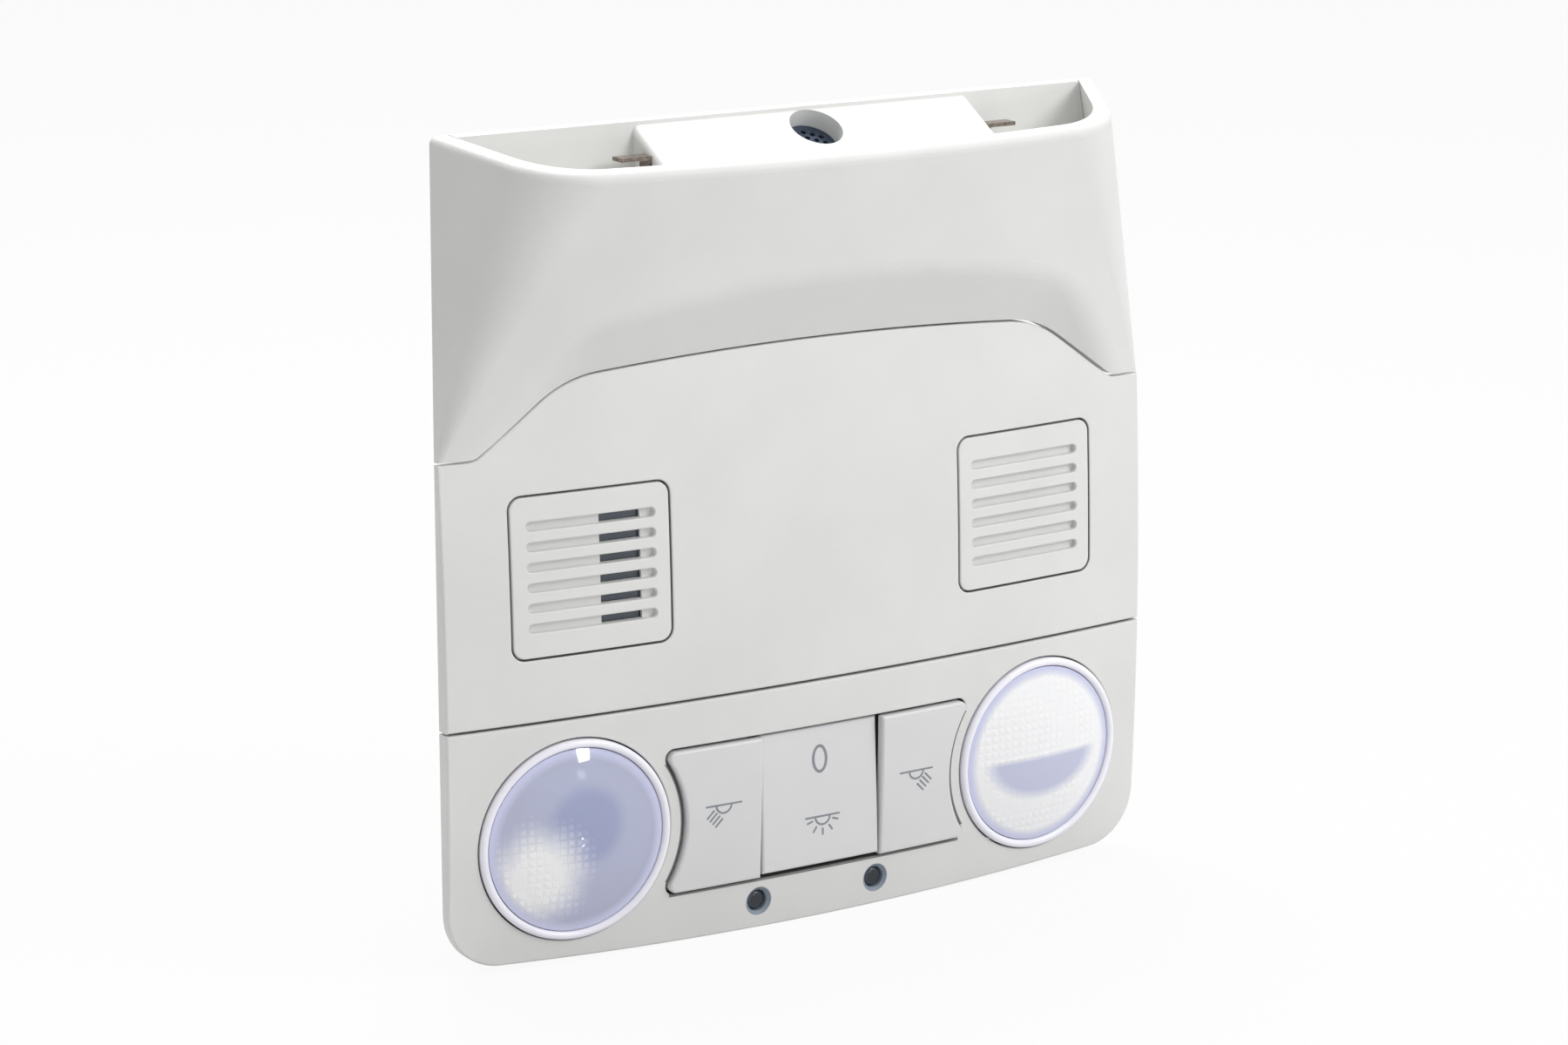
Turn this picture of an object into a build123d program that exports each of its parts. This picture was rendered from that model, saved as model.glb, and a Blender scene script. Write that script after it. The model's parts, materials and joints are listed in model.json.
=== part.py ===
from build123d import *
import math
import os

# Roof courtesy light for a car: three fascia mouldings on one base frame, two reading lamps,
# a three-key switch group, a motion sensor behind a louvred insert and a microphone in the hood.
# Millimetres. X runs across the face, -Y looks into the car, +Z runs towards the hood.
# The origin is the middle of the line of the two fixing screws, on the back of the base frame.

# Domed face
face_width = 170.0
dome_radius = 770.0
dome_height = 8.0
skin = 2.2
rim_wall = 2.0
seam_gap = 0.5
panel_edge = 0.5
opening_edge = 0.3

# Lamp panel outline
bottom_edge_radius = 1590.0
bottom_corner = 12.0

# Sensor panel outline and its arched upper seam
foot_z = 54.4
foot_ledge = 7.9
foot_round = 4.0
shoulder_run = 20.0
shoulder_rise = 14.4
shoulder_round = 25.0
arch_rise = 2.7

# Hood
hood_wall = 3.5
hood_height = 62.5
hood_top_inset = 5.3
hood_top_rear_y = 7.1
hood_top_corner_y = -21.4
hood_top_front_y = -23.9
hood_top_lean = 0.5
hood_top_round = 24.0
hood_foot_side = 1.4
hood_foot_front_y = -12.2
hood_foot_round = 1.2
hood_end_slope = 0.215
hood_rim_round = 2.0
band_draft = 1.336
crease_round = 9.0

# End cap that carries the microphone
cap_clearance = 0.3
cap_plate = 1.6
cap_plate_length = 34.0
cap_centre_x = 5.3
cap_block_width = 81.0
cap_block_edge = 1.5
cap_slope_deg = 30.0
cap_step_y = -7.2
cap_floor_z = 95.4
cap_floor = 1.6
cap_wall = 2.2
cap_pad_width = 60.0
cap_pad_height = 8.0
well_radius = 5.7
well_y = 0.3
well_depth = 7.0
well_wall = 1.7
mic_disc_depth = 4.0
mic_disc = 0.8
mic_disc_clearance = 0.15
mic_hole_radius = 0.55
mic_hole_pitch = 1.9
mic_hole_rows = 5
mic_hole_reach = 4.5
mic_capsule_radius = 4.8
clip_sheet = 0.8
clip_reach = 7.0
clip_width = 3.6
clip_leg = 6.0
clip_y = -0.8
clip_drop = 0.6

# Base frame, fixing screws and the tongue that enters the hood
frame_thickness = 2.4
frame_gap = 0.4
frame_top_gap = 0.8
frame_dome_gap = 0.3
frame_corner = 8.0
tongue_half_width = 40.0
tongue_top = 92.0
fixing_inset = 11.0
fixing_hole_radius = 2.3
fixing_recess_radius = 5.5

# Screws that hold the panels and the rear housing
post_radius = 2.5
post_pilot = 2.8
screw_radius = 1.05
screw_clearance = 0.05
screw_pass_radius = 1.4
screw_head_radius = 1.9
screw_head = 1.6
screw_recess = 2.2
screw_recess_width = 0.6
screw_recess_depth = 0.9
screw_end_gap = 0.4
panel_post_x = 25.0
panel_post_z = -4.3
panel_low_post_rise = 4.3
sensor_post_x = 28.0
sensor_post_low_z = 6.0
sensor_post_top_gap = 11.5
ear_radius = 3.2
ear_thickness = 2.0
high_ear_inset = 25.0
high_ear_rise = 2.4
low_ear_inset = 44.0
low_ear_drop = 2.2

# Reading lamps: depths are measured along the lamp's own axis, back from the face
lamp_opening_radius = 21.5
lamp_side_margin = 6.3
lamp_top_margin = 4.1
lamp_low_margin = 4.8
lamp_gap = 0.3
lamp_frame_gap = 0.2
bezel_width = 1.7
bezel_proud = 0.7
bezel_depth = 4.2
bezel_ledge = 1.2
bezel_wall = 0.9
lens_seat = 1.6
lens_gap = 0.2
lens_crown = 2.2
lens_rim = 1.8
reflector_gap = 0.2
reflector_wall = 1.2
reflector_depth = 18.0
reflector_taper = 3.7
reflector_belly_depth = 12.0
reflector_floor_radius = 8.0
reflector_hole_radius = 5.6
bulb_radius = 4.9
bulb_tip = 7.5
holder_bore_gap = 0.1
holder_bore_depth = 5.6
holder_flange_radius = 9.0
holder_flange = 2.0
holder_radius = 7.0
holder_floor = 4.2

# Switch group
switch_top_margin = 9.65
switch_low_margin = 10.85
switch_side_margin = 2.75
switch_corner = 2.0
key_gap = 0.5
key_proud = 1.2
key_plate = 2.0
key_skirt = 3.0
key_skirt_wall = 1.4
key_edge = 0.6
key_travel = 1.6
rocker_half_width = 14.3
rocker_end_gap = 0.8
rocker_proud = 0.1
rocker_plate = 2.2
rocker_tilt_deg = 4.3
rocker_pivot_y = -4.9
rocker_pin_radius = 1.2
rocker_pin_clearance = 0.05
rocker_pin_end_gap = 0.2
rocker_side_gap = 0.6
rocker_web = 2.4
rocker_web_length = 9.0
rocker_web_back = 2.2
rocker_leg_width = 5.0
switch_margin = 0.35
switch_wall = 1.4
switch_front_y = -6.9
switch_back_y = 2.2
switch_back_wall = 1.4
partition_wall = 1.6
stem_side = 4.0
stem_end_y = -0.6
plunger_side = 3.0
plunger_gap = 0.3
plunger_end_y = 5.4
push_switch_side = 8.0
push_switch_gap = 0.3
slide_switch_width = 8.0
slide_switch_length = 14.0
slide_switch_top_y = 6.8
slide_switch_lid = 0.8
slider_width = 3.6
slider_length = 4.0
slider_peg = 1.8
slider_peg_top_y = 3.7
slider_base_y = 9.6
slider_gap = 0.15
fork_y = 4.8
fork_end_y = 6.0
fork_gap = 0.25
fork_prong = 1.4
fork_slot_margin = 0.6

# Ambient light holes under the keys
led_x = 14.5
led_rise = 5.9
led_mouth_radius = 3.0
led_mouth_depth = 0.7
led_hole_radius = 2.3
led_collar_radius = 2.9
led_collar_y = -5.2
led_gap = 0.15
led_recess = 0.9
led_flange_radius = 2.9
led_flange = 0.8

# Louvred inserts and the motion sensor
grille_side_margin = 14.2
grille_width = 35.9
grille_height = 33.6
grille_low_z = 13.1
grille_round = 3.0
grille_gap = 0.45
grille_flange = 1.4
grille_flange_gap = 0.05
grille_flange_thickness = 1.1
slot_count = 6
slot_pitch = 4.145
slot_low_margin = 6.45
slot_height = 1.9
slot_inner_margin = 3.6
slot_outer_margin = 3.8
slot_depth = 1.4
window_margin = 6.4
window_width = 9.1
sensor_margin = 1.6
sensor_gap = 0.3
window_floor = 0.6
sensor_frame_gap = 1.0

# Circuit board, connector and rear housing
board_y = 10.4
board = 1.6
board_low_half = 34.0
board_low_gap = 1.0
board_step_z = 6.0
board_inset = 29.0
board_top_gap = 2.0
housing_inset = 6.4
housing_taper = 14.6
housing_low_inset = 6.7
housing_low_taper = 0.6
housing_top_inset = 5.8
housing_top_taper = 4.0
housing_depth = 26.0
housing_wall = 1.4
housing_corner = 8.0
housing_post_radius = 3.0
housing_post_inset = 8.0
housing_post_low_inset = 6.0
housing_post_high_inset = 6.0
socket_width = 24.0
socket_height = 12.0
socket_z = 26.0
socket_wall = 1.4
socket_floor = 3.0
socket_end_y = 30.0
socket_gap = 0.3
pin_count = 6
pin_side = 0.8
pin_pitch = 3.0
pin_length = 7.0

# Places that follow from the sizes above
rim_y = -frame_thickness
apex_y = rim_y - dome_height
half_width = face_width / 2
panel_drop = lamp_top_margin + 2 * lamp_opening_radius + lamp_low_margin
foot_x = half_width - foot_ledge
shoulder_x = foot_x - shoulder_run
shoulder_z = foot_z + shoulder_rise
arch_z = shoulder_z + arch_rise
frame_top = foot_z - frame_top_gap
fixing_x = half_width - fixing_inset
lamp_x = half_width - lamp_side_margin - lamp_opening_radius
lamp_z = -lamp_top_margin - lamp_opening_radius
switch_top = -switch_top_margin
switch_bottom = switch_low_margin - panel_drop
switch_side_radius = lamp_opening_radius + switch_side_margin
key_stem_x = (rocker_half_width + lamp_x - switch_side_radius) / 2
led_z = led_rise - panel_drop
grille_outer_x = half_width - grille_side_margin
grille_inner_x = grille_outer_x - grille_width
grille_high_z = grille_low_z + grille_height
slot_low_z = grille_low_z + slot_low_margin
slot_inner_x = grille_inner_x + slot_inner_margin
slot_outer_x = grille_outer_x - slot_outer_margin
window_inner_x = grille_inner_x + window_margin
window_outer_x = window_inner_x + window_width
housing_half = half_width - housing_inset
housing_back_half = housing_half - housing_taper
housing_bottom = housing_low_inset - panel_drop
housing_back_bottom = housing_bottom + housing_low_taper
housing_top = foot_z - housing_top_inset
housing_back_top = housing_top - housing_top_taper
board_half = half_width - board_inset
board_low_z = housing_back_bottom + housing_wall + board_low_gap
board_top_z = housing_back_top - housing_wall - board_top_gap
housing_post_x = board_half - housing_post_inset
housing_post_low_z = board_step_z + housing_post_low_inset
housing_post_high_z = board_top_z - housing_post_high_inset
panel_low_post_z = panel_low_post_rise - panel_drop
sensor_post_high_z = arch_z - sensor_post_top_gap
high_ear_x = half_width - high_ear_inset
high_ear_z = housing_top + high_ear_rise
low_ear_x = half_width - low_ear_inset
low_ear_z = housing_bottom - low_ear_drop
far_front = apex_y - face_width
hood_foot_z = foot_z + seam_gap
hood_top_z = hood_foot_z + hood_height
hood_top_half = half_width - hood_top_inset
switch_mid = (switch_top + switch_bottom) / 2
partition_x = rocker_half_width + rocker_side_gap
push_switch_top_y = switch_back_y + switch_back_wall + push_switch_gap
fork_arm = fork_y - rocker_pivot_y
slider_rest_z = switch_mid - fork_arm * math.sin(math.radians(rocker_tilt_deg))
slider_swing = switch_mid - slider_rest_z
bezel_radius = lamp_opening_radius - lamp_gap
lens_seat_radius = bezel_radius - bezel_width
bezel_back = lens_seat + bezel_ledge
reflector_back = reflector_depth + reflector_wall
bulb_end = reflector_back + holder_bore_depth
housing_inside_y = housing_depth - housing_wall
SIDES = {"left": -1, "right": 1}


def front_plane(y):
    """Plane that faces into the car, with local x along X and local y along Z."""
    return Plane(origin=(0, y, 0), x_dir=(1, 0, 0), z_dir=(0, -1, 0))


def prism(outline, back, front):
    """Solid from an outline in X and Z, from y = back forwards to y = front."""
    return extrude(front_plane(back) * outline, amount=back - front)


def rod(x, z, radius, back, front):
    """Round bar along Y."""
    return prism(Pos(x, z) * Circle(radius), back, front)


def block(x_range, y_range, z_range):
    """Box given by its limits."""
    ranges = (x_range, y_range, z_range)
    middle = [(low + high) / 2 for low, high in ranges]
    return Pos(*middle) * Box(*[high - low for low, high in ranges])


def span(centre, width):
    """Limits of a width about its middle."""
    return centre - width / 2, centre + width / 2


def sided(side, near, far):
    """Limits in X of something that lies between two distances from the middle."""
    return min(side * near, side * far), max(side * near, side * far)


def near_to_far(start, side, reach):
    """Limits in X of something that reaches outwards from a flank."""
    return min(start, start + side * reach), max(start, start + side * reach)


def dome(offset_out=0.0):
    """Ball whose near side is the domed face, or that face moved outwards."""
    return Pos(0, apex_y + dome_radius, 0) * Sphere(dome_radius + offset_out)


def dome_y(x, z):
    """Height of the domed face at a point."""
    return apex_y + dome_radius - math.sqrt(dome_radius**2 - x**2 - z**2)


def front_face(solid):
    """Foremost domed face of a piece."""
    return solid.faces().filter_by(GeomType.SPHERE).sort_by(Axis.Y)[0]


def soften_openings(panel, radius):
    """Round the front edges of the openings in a panel."""
    rims = [edge for wire in front_face(panel).inner_wires() for edge in wire.edges()]
    return fillet(rims, radius)


def turned(*pieces):
    """Solid of revolution about Z from lines drawn in radius and height."""
    edges = [edge for piece in pieces for edge in piece.edges()]
    return revolve(Plane.XZ * make_face(edges), Axis.Z)


def crown(radius, base, rise):
    """Arc from the axis down to a rim, as the section of a shallow cap."""
    ball = (radius**2 + rise**2) / (2 * rise)
    middle = base + rise - ball + math.sqrt(ball**2 - (radius / 2) ** 2)
    return ThreePointArc((0, base + rise), (radius / 2, middle), (radius, base))


def lamp_plane(side):
    """Plane on the face at a lamp's centre, square to the dome."""
    x = side * lamp_x
    y = dome_y(x, lamp_z)
    return Plane(origin=(x, y, lamp_z), x_dir=(0, 0, 1), z_dir=(x, y - apex_y - dome_radius, lamp_z))


def lamp_bore(side, radius):
    """Round hole square to the dome at a lamp, longer than any wall there."""
    return lamp_plane(side) * Cylinder(radius, 2 * (reflector_back + dome_height))


# Fascia mouldings


def lamp_panel_outline():
    """Straight upper seam, bowed lower edge and two round corners."""
    corner_z = half_width**2 / (2 * bottom_edge_radius) - panel_drop
    seam_z = -seam_gap / 2
    points = [(-half_width, corner_z), (-half_width, seam_z), (half_width, seam_z), (half_width, corner_z)]
    bow = ThreePointArc(points[-1], (0, -panel_drop), points[0])
    outline = make_face(Polyline(*points).edges() + bow.edges())
    return fillet(outline.vertices().sort_by(Axis.Y)[:2], bottom_corner)


def sensor_panel_outline():
    """Straight lower seam and an arched upper seam with two feet."""
    right = [(half_width, seam_gap / 2), (half_width, foot_z), (foot_x, foot_z), (shoulder_x, shoulder_z)]
    left = [(-x, z) for x, z in reversed(right)]
    arch = ThreePointArc(right[-1], (0, arch_z), left[0])
    outline = make_face(Polyline(*left, *right).edges() + arch.edges())
    corners = outline.vertices().sort_by(lambda v: abs(v.X))
    outline = fillet(corners[:2], shoulder_round)
    feet = outline.vertices().filter_by(lambda v: abs(v.Y - foot_z) < seam_gap)
    return fillet(feet.sort_by(lambda v: abs(v.X))[:2], foot_round)


def fascia(outline):
    """Domed moulding with walls at its outer edges, open along the lower seam."""
    open_seam = Rectangle(face_width - 2 * rim_wall, 4 * rim_wall)
    inner = offset(outline, -rim_wall) + open_seam
    body = prism(outline, rim_y, far_front) & dome()
    body = fillet(front_face(body).edges(), panel_edge)
    hollow = prism(inner, rim_y + rim_wall, far_front) & dome(-skin)
    return body - hollow


def add_post(panel, x, z):
    """Screw post from the skin back to the base frame, with its pilot hole."""
    body = rod(x, z, post_radius, rim_y, far_front) & dome(-skin / 2)
    pilot = rod(x, z, screw_radius + screw_clearance, rim_y, rim_y - post_pilot)
    return panel + body - pilot


def panel_posts():
    """Places of the lamp panel's screw posts."""
    return [(-panel_post_x, panel_post_z), (panel_post_x, panel_post_z), (0, panel_low_post_z)]


def sensor_posts():
    """Places of the sensor panel's screw posts."""
    heights = (sensor_post_low_z, sensor_post_high_z)
    return [(side * sensor_post_x, z) for side in SIDES.values() for z in heights]


def led_mouth(x):
    """Flared hole through the lamp panel for one ambient light."""
    flare_run = led_mouth_radius - led_hole_radius
    flare = Cone(
        led_hole_radius, led_mouth_radius + flare_run, 2 * led_mouth_depth,
        align=(Align.CENTER, Align.CENTER, Align.MIN),
    )
    place = front_plane(dome_y(x, led_z) + led_mouth_depth) * Pos(x, led_z)
    return rod(x, led_z, led_hole_radius, led_collar_y, far_front) + place * flare


def make_lamp_panel():
    """Lower fascia with lamp openings, key opening and the two ambient light holes."""
    panel = fascia(lamp_panel_outline())
    for x, z in panel_posts():
        panel = add_post(panel, x, z)
    for side in SIDES.values():
        collar = rod(side * led_x, led_z, led_collar_radius, led_collar_y, far_front) & dome(-skin / 2)
        panel = panel + collar - led_mouth(side * led_x) - lamp_bore(side, lamp_opening_radius)
    return soften_openings(panel - prism(switch_outline(0), rim_y, far_front), opening_edge)


def make_sensor_panel():
    """Middle fascia with the two square openings for the louvred inserts."""
    panel = fascia(sensor_panel_outline())
    for x, z in sensor_posts():
        panel = add_post(panel, x, z)
    for side in SIDES.values():
        panel -= prism(grille_outline(side, 0), rim_y, far_front)
    return soften_openings(panel, opening_edge)


# Hood


def hood_section(z, half, rear_y, lean, corner_y, front_y, corner_round, inset, rear_run):
    """Level section: straight back, leaning sides, round corners and a bowed front."""
    slant = math.sqrt(1 + lean**2)
    rear = rear_y + rear_run
    corner = corner_y + inset
    rear_x = half + rear_run * lean - inset * slant
    corner_x = half - (rear_y - corner) * lean - inset * slant
    points = [(-corner_x, corner), (-rear_x, rear), (rear_x, rear), (corner_x, corner)]
    bow = ThreePointArc(points[-1], (0, front_y + inset), points[0])
    outline = make_face(Polyline(*points).edges() + bow.edges())
    corners = outline.vertices().sort_by(Axis.Y)[:2]
    return Pos(0, 0, z) * fillet(corners, corner_round)


def hood_form(inset=0.0, rear_run=0.0):
    """Flared block of the hood, drawn in by an inset and run on at the back."""
    foot_corner_y = rim_y - hood_foot_side
    foot = (half_width, rim_y, 0.0, foot_corner_y, hood_foot_front_y, hood_foot_round)
    top = (
        hood_top_half, hood_top_rear_y, hood_top_lean, hood_top_corner_y, hood_top_front_y,
        hood_top_round - inset,
    )
    sections = [
        hood_section(hood_foot_z, *foot, inset, rear_run),
        hood_section(hood_top_z, *top, inset, rear_run),
    ]
    return loft(sections, ruled=True)


def hood_end():
    """Half space above the hood's sloping end."""
    normal = (0, -hood_end_slope, 1)
    plane = Plane(origin=(0, hood_top_rear_y, hood_top_z), x_dir=(1, 0, 0), z_dir=normal)
    size = 4 * face_width
    return plane * Box(size, size, size, align=(Align.CENTER, Align.CENTER, Align.MIN))


def ahead_of_back(edge):
    """Whether an edge lies clear of the hood's sloping back and of its foot."""
    middle = edge.center()
    height = (middle.Z - hood_foot_z) / hood_height
    back_y = rim_y + height * (hood_top_rear_y - rim_y)
    return middle.Y < back_y - seam_gap and height > seam_gap / hood_height


def arch_cut(grow=0.0):
    """Flaring space over the arched seam, whose walls lean outwards towards the viewer."""
    slope_x = foot_x - shoulder_x
    slope_z = shoulder_z - foot_z
    length = math.hypot(slope_x, slope_z)
    normal_x = slope_z / length
    normal_z = slope_x / length
    apex_level = dome_y(0, arch_z)
    slope_level = dome_y((foot_x + shoulder_x) / 2, (foot_z + shoulder_z) / 2)
    base = foot_z - face_width / 4
    sections = []
    for y in (rim_y + dome_height, hood_top_front_y - dome_height):
        top = arch_z + band_draft * (apex_level - y) + grow
        reach = normal_x * foot_x + normal_z * foot_z + band_draft * (slope_level - y) + grow
        top_x = (reach - normal_z * top) / normal_x
        base_x = (reach - normal_z * base) / normal_x
        corners = [(-base_x, base), (-top_x, top), (top_x, top), (base_x, base)]
        outline = make_face(Polyline(*corners, close=True))
        shoulders = outline.vertices().sort_by(Axis.Y)[-2:]
        sections.append(front_plane(y) * fillet(shoulders, shoulder_round))
    return loft(sections, ruled=True)


def soft_hood_form():
    """Outside of the hood with a soft crease over the arch and a soft rim at its end."""
    whole = hood_form()
    arch = arch_cut()
    form = whole - arch
    crease = new_edges(whole, arch, combined=form).filter_by(ahead_of_back)
    form = fillet(crease, crease_round)
    end = hood_end()
    open_form = form - end
    rim = new_edges(form, end, combined=open_form).filter_by(ahead_of_back)
    return fillet(rim, hood_rim_round)


def make_hood():
    """Upper fascia: flared shell, open behind and at its end, over the arched seam."""
    wall_rise = hood_wall * math.sqrt(1 + band_draft**2)
    outer = soft_hood_form()
    inner = hood_form(hood_wall, 2 * hood_wall) - arch_cut(wall_rise)
    seam = prism(offset(sensor_panel_outline(), seam_gap), hood_top_rear_y, far_front)
    slot_x = span(0, 2 * (tongue_half_width + seam_gap))
    tongue_slot = block(slot_x, (rim_y - frame_gap, hood_top_rear_y), (foot_z, tongue_top))
    return outer - inner - seam - tongue_slot


# End cap and microphone


def rear_half_space(depth):
    """Everything behind the hood's sloping back, or behind that plane moved forwards."""
    run = hood_top_rear_y - rim_y
    rise = hood_top_z - hood_foot_z
    plane = Plane(origin=(0, hood_top_rear_y - depth, hood_top_z), x_dir=(1, 0, 0), z_dir=(0, rise, -run))
    size = 4 * face_width
    return plane * Box(size, size, size, align=(Align.CENTER, Align.CENTER, Align.MIN))


def cap_face(x, y, depth=0.0):
    """Plane on the end cap's sloping face, or sunk below it."""
    tilt = math.radians(cap_slope_deg)
    z = hood_top_z - (hood_top_rear_y - y) * math.tan(tilt)
    normal = Vector(0, -math.sin(tilt), math.cos(tilt))
    return Plane(origin=Vector(x, y, z) - normal * depth, x_dir=(1, 0, 0), z_dir=normal)


def above_cap_face(depth):
    """Everything above the end cap's sloping face, or above that face sunk by a depth."""
    size = 2 * face_width
    return cap_face(0, well_y, depth) * Box(size, size, size, align=(Align.CENTER, Align.CENTER, Align.MIN))


def sunk_rod(radius, top, bottom):
    """Round bar square to the sloping face at the microphone, between two depths."""
    bar = Cylinder(radius, bottom - top, align=(Align.CENTER, Align.CENTER, Align.MAX))
    return cap_face(cap_centre_x, well_y, top) * bar


def cap_block(wall):
    """Raised block that holds the microphone, drawn in by a wall."""
    x_range = span(cap_centre_x, cap_block_width - 2 * wall)
    body = block(x_range, (cap_step_y + wall, 2 * hood_top_rear_y), (cap_floor_z - wall, hood_top_z))
    return body - above_cap_face(wall) - rear_half_space(wall)


def soft_cap_block():
    """Raised block with its two upper side edges rounded."""
    body = cap_block(0)
    edges = body.faces().sort_by(Axis.Z)[-1].edges().sort_by(Axis.X)
    return fillet([edges[0], edges[-1]], cap_block_edge)


def make_end_cap():
    """Cap inside the hood's open end: back plate, floor and a sloping block with a well."""
    across = (-face_width, face_width)
    inset = hood_wall + cap_clearance
    clear = hood_form(inset, 2 * inset) - hood_end() - rear_half_space(0)
    plate = rear_half_space(cap_plate) & block(across, across, (hood_top_z - cap_plate_length, hood_top_z))
    floor = block(across, across, (cap_floor_z, cap_floor_z + cap_floor))
    pad_top = tongue_top
    pad = block(span(0, cap_pad_width), (0, hood_top_rear_y), (pad_top - cap_pad_height, pad_top))
    cap = clear & (plate + floor + soft_cap_block() + pad)
    tube = sunk_rod(well_radius + well_wall, cap_wall / 2, well_depth + well_wall)
    return cap - cap_block(cap_wall) + tube - sunk_rod(well_radius, 0, well_depth)


def make_mic_grille():
    """Perforated disc part way down the well."""
    disc = sunk_rod(well_radius - mic_disc_clearance, mic_disc_depth, mic_disc_depth + mic_disc)
    holes = HexLocations(mic_hole_pitch / 2, mic_hole_rows, mic_hole_rows, major_radius=False)
    near = [hole for hole in holes if hole.position.length < mic_hole_reach]
    top = cap_face(cap_centre_x, well_y, mic_disc_depth)
    for hole in near:
        disc -= top * hole * Cylinder(mic_hole_radius, 4 * mic_disc)
    return disc


def make_mic_capsule():
    """Microphone capsule on the floor of the well."""
    return sunk_rod(mic_capsule_radius, mic_disc_depth + mic_disc, well_depth)


def make_clip(side):
    """Bent spring-steel clip on one flank of the end cap's block."""
    flank = cap_centre_x + side * cap_block_width / 2
    y_range = span(clip_y, clip_width)
    top = cap_face(0, y_range[0]).origin.Z - clip_drop
    leg = block(near_to_far(flank, side, clip_sheet), y_range, (top - clip_leg, top))
    tongue = block(near_to_far(flank, side, clip_reach), y_range, (top - clip_sheet, top))
    return leg + tongue


# Base frame and screws


def frame_outline():
    """Outline of the frame inside the fascia walls, with the tongue that enters the hood."""
    inset = rim_wall + frame_gap
    body_width = face_width - 2 * inset
    upper = Pos(0, (frame_top - inset) / 2) * Rectangle(body_width, frame_top + inset)
    upper = fillet(upper.vertices().sort_by(Axis.Y)[-2:], frame_corner)
    lower = offset(lamp_panel_outline(), -inset)
    tongue = Pos(0, tongue_top / 2) * Rectangle(2 * tongue_half_width, tongue_top)
    filler = Pos(0, -inset) * Rectangle(body_width, 4 * inset)
    return upper + lower + filler + fillet(tongue.vertices().sort_by(Axis.Y)[-2:], frame_corner)


def ears():
    """Places of the rear housing's screw ears."""
    places = [(high_ear_x, high_ear_z), (low_ear_x, low_ear_z)]
    return [(side * x, z) for side in SIDES.values() for x, z in places]


def make_base_frame():
    """Flat carrier behind the fascias, with openings for the lamps, keys and sensor."""
    frame = prism(frame_outline(), 0, rim_y) & dome(-skin - frame_dome_gap)
    tongue_x = (-tongue_half_width, tongue_half_width)
    frame += block(tongue_x, (rim_y, 0), (arch_z, tongue_top - frame_corner))
    opening = switch_margin + switch_wall + frame_gap
    key_range = (switch_bottom - opening, switch_top + opening)
    frame -= block((-lamp_x, lamp_x), (2 * rim_y, dome_height), key_range)
    x_range, z_range = sensor_limits(sensor_margin + sensor_frame_gap)
    frame -= block(x_range, (2 * rim_y, dome_height), z_range)
    for side in SIDES.values():
        frame -= lamp_bore(side, lamp_opening_radius + lamp_frame_gap)
        frame -= rod(side * fixing_x, 0, fixing_hole_radius, dome_height, 2 * rim_y)
    for x, z in panel_posts() + sensor_posts():
        frame -= rod(x, z, screw_pass_radius, dome_height, 2 * rim_y)
    for x, z in ears():
        frame -= rod(x, z, screw_radius + screw_clearance, dome_height, 2 * rim_y)
    return frame


def screw(x, z, seat_y, length):
    """Pan-head screw driven forwards, with a cross recess."""
    head = rod(x, z, screw_head_radius, seat_y + screw_head, seat_y)
    shank = rod(x, z, screw_radius, seat_y, seat_y - length)
    recess_y = (seat_y + screw_head - screw_recess_depth, seat_y + screw_head)
    upright = block(span(x, screw_recess_width), recess_y, span(z, screw_recess))
    level = block(span(x, screw_recess), recess_y, span(z, screw_recess_width))
    return head + shank - upright - level


def make_panel_screws():
    """Screws through the base frame into the fascia posts."""
    length = frame_thickness + post_pilot - screw_end_gap
    return Compound([screw(x, z, 0, length).solid() for x, z in panel_posts() + sensor_posts()])


def make_housing_screws():
    """Screws through the rear housing's ears into the base frame."""
    length = ear_thickness + frame_thickness - screw_end_gap
    return Compound([screw(x, z, ear_thickness, length).solid() for x, z in ears()])


# Reading lamps


def make_bezel(side):
    """Round-nosed ring with a seat for the lens and a skirt for the reflector."""
    nose_radius = (lens_seat_radius + bezel_radius) / 2
    nose = ThreePointArc((lens_seat_radius, 0), (nose_radius, bezel_proud), (bezel_radius, 0))
    skirt_radius = bezel_radius - bezel_wall
    ledge_radius = lens_seat_radius - bezel_ledge
    body = Polyline(
        (bezel_radius, 0), (bezel_radius, -bezel_depth), (skirt_radius, -bezel_depth),
        (skirt_radius, -bezel_back), (ledge_radius, -bezel_back), (ledge_radius, -lens_seat),
        (lens_seat_radius, -lens_seat), (lens_seat_radius, 0),
    )
    return lamp_plane(side) * turned(nose, body)


def make_lens(side):
    """Shallow domed lens that lies on the bezel's seat."""
    radius = lens_seat_radius - lens_gap
    inner_radius = radius - lens_rim
    rim = Polyline((radius, 0), (radius, -lens_seat), (inner_radius, -lens_seat))
    axis = Line((0, lens_crown - lens_seat), (0, lens_crown))
    inside = crown(inner_radius, -lens_seat, lens_crown)
    return lamp_plane(side) * turned(crown(radius, 0, lens_crown), rim, inside, axis)


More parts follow.
